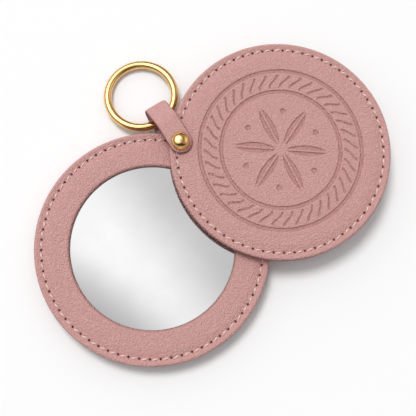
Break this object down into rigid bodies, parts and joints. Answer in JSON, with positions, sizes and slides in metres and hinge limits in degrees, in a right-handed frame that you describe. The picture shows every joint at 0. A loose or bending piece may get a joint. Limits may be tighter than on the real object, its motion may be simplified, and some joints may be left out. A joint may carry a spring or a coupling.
{
  "type": "folding key ring mirror",
  "caption": "Round leather pocket mirror whose cover and mirror half swing apart on one rivet, with a folded strap holding a metal ring for keys.",
  "frame": {"origin": "on the rivet's axis, at the flat underside of the rivet's back cap, in the plane that the object lies on", "axes": "+Z along the rivet's axis from its back cap to its domed front cap; the cover lies towards +X, the mirror half towards -Y and the ring towards -X and +Y"},
  "size_m": [0.1066, 0.0978, 0.0142],
  "materials": {
    "leather": "fine-grained matte polyurethane leather, dusty rose",
    "thread": "twisted polyester sewing thread, pale pink",
    "grey_board": "pressed grey board, uncoated",
    "foam": "thin closed-cell foam sheet",
    "adhesive": "double-sided adhesive pad",
    "mirror_glass": "back-silvered float glass with a ground edge",
    "brass": "polished, gold-plated"
  },
  "bodies": {
    "pivot_strap": {"strap_loop": "leather", "rivet_front_cap": "brass", "rivet_socket": "brass", "rivet_post": "brass", "rivet_back_cap": "brass"},
    "mirror_half": {"mirror_front_leather": "leather", "mirror_board_ring": "grey_board", "mirror_base_board": "grey_board", "mirror_adhesive_pad": "adhesive", "mirror_glass": "mirror_glass", "mirror_back_leather": "leather", "mirror_seam_top_thread": "thread", "mirror_seam_bobbin_thread": "thread"},
    "cover": {"cover_front_leather": "leather", "cover_foam_pad": "foam", "cover_board": "grey_board", "cover_lining_leather": "leather", "cover_seam_top_thread": "thread", "cover_seam_bobbin_thread": "thread"},
    "key_ring": {"key_ring": "brass"}
  },
  "joints": [
    {"name": "mirror_swing", "type": "hinge", "parent": "pivot_strap", "child": "mirror_half", "pos_m": [0, 0, 0.00235], "axis": [0, 0, 1], "range_deg": [-2, 101]},
    {"name": "cover_swing", "type": "hinge", "parent": "pivot_strap", "child": "cover", "pos_m": [0, 0, 0.0079], "axis": [0, 0, 1], "range_deg": [-104, 3]},
    {"name": "ring_swing", "type": "hinge", "parent": "pivot_strap", "child": "key_ring", "pos_m": [-0.0055, 0.00881, 0.00355], "axis": [0.766, 0.6428, 0], "range_deg": [0, 50]}
  ]
}
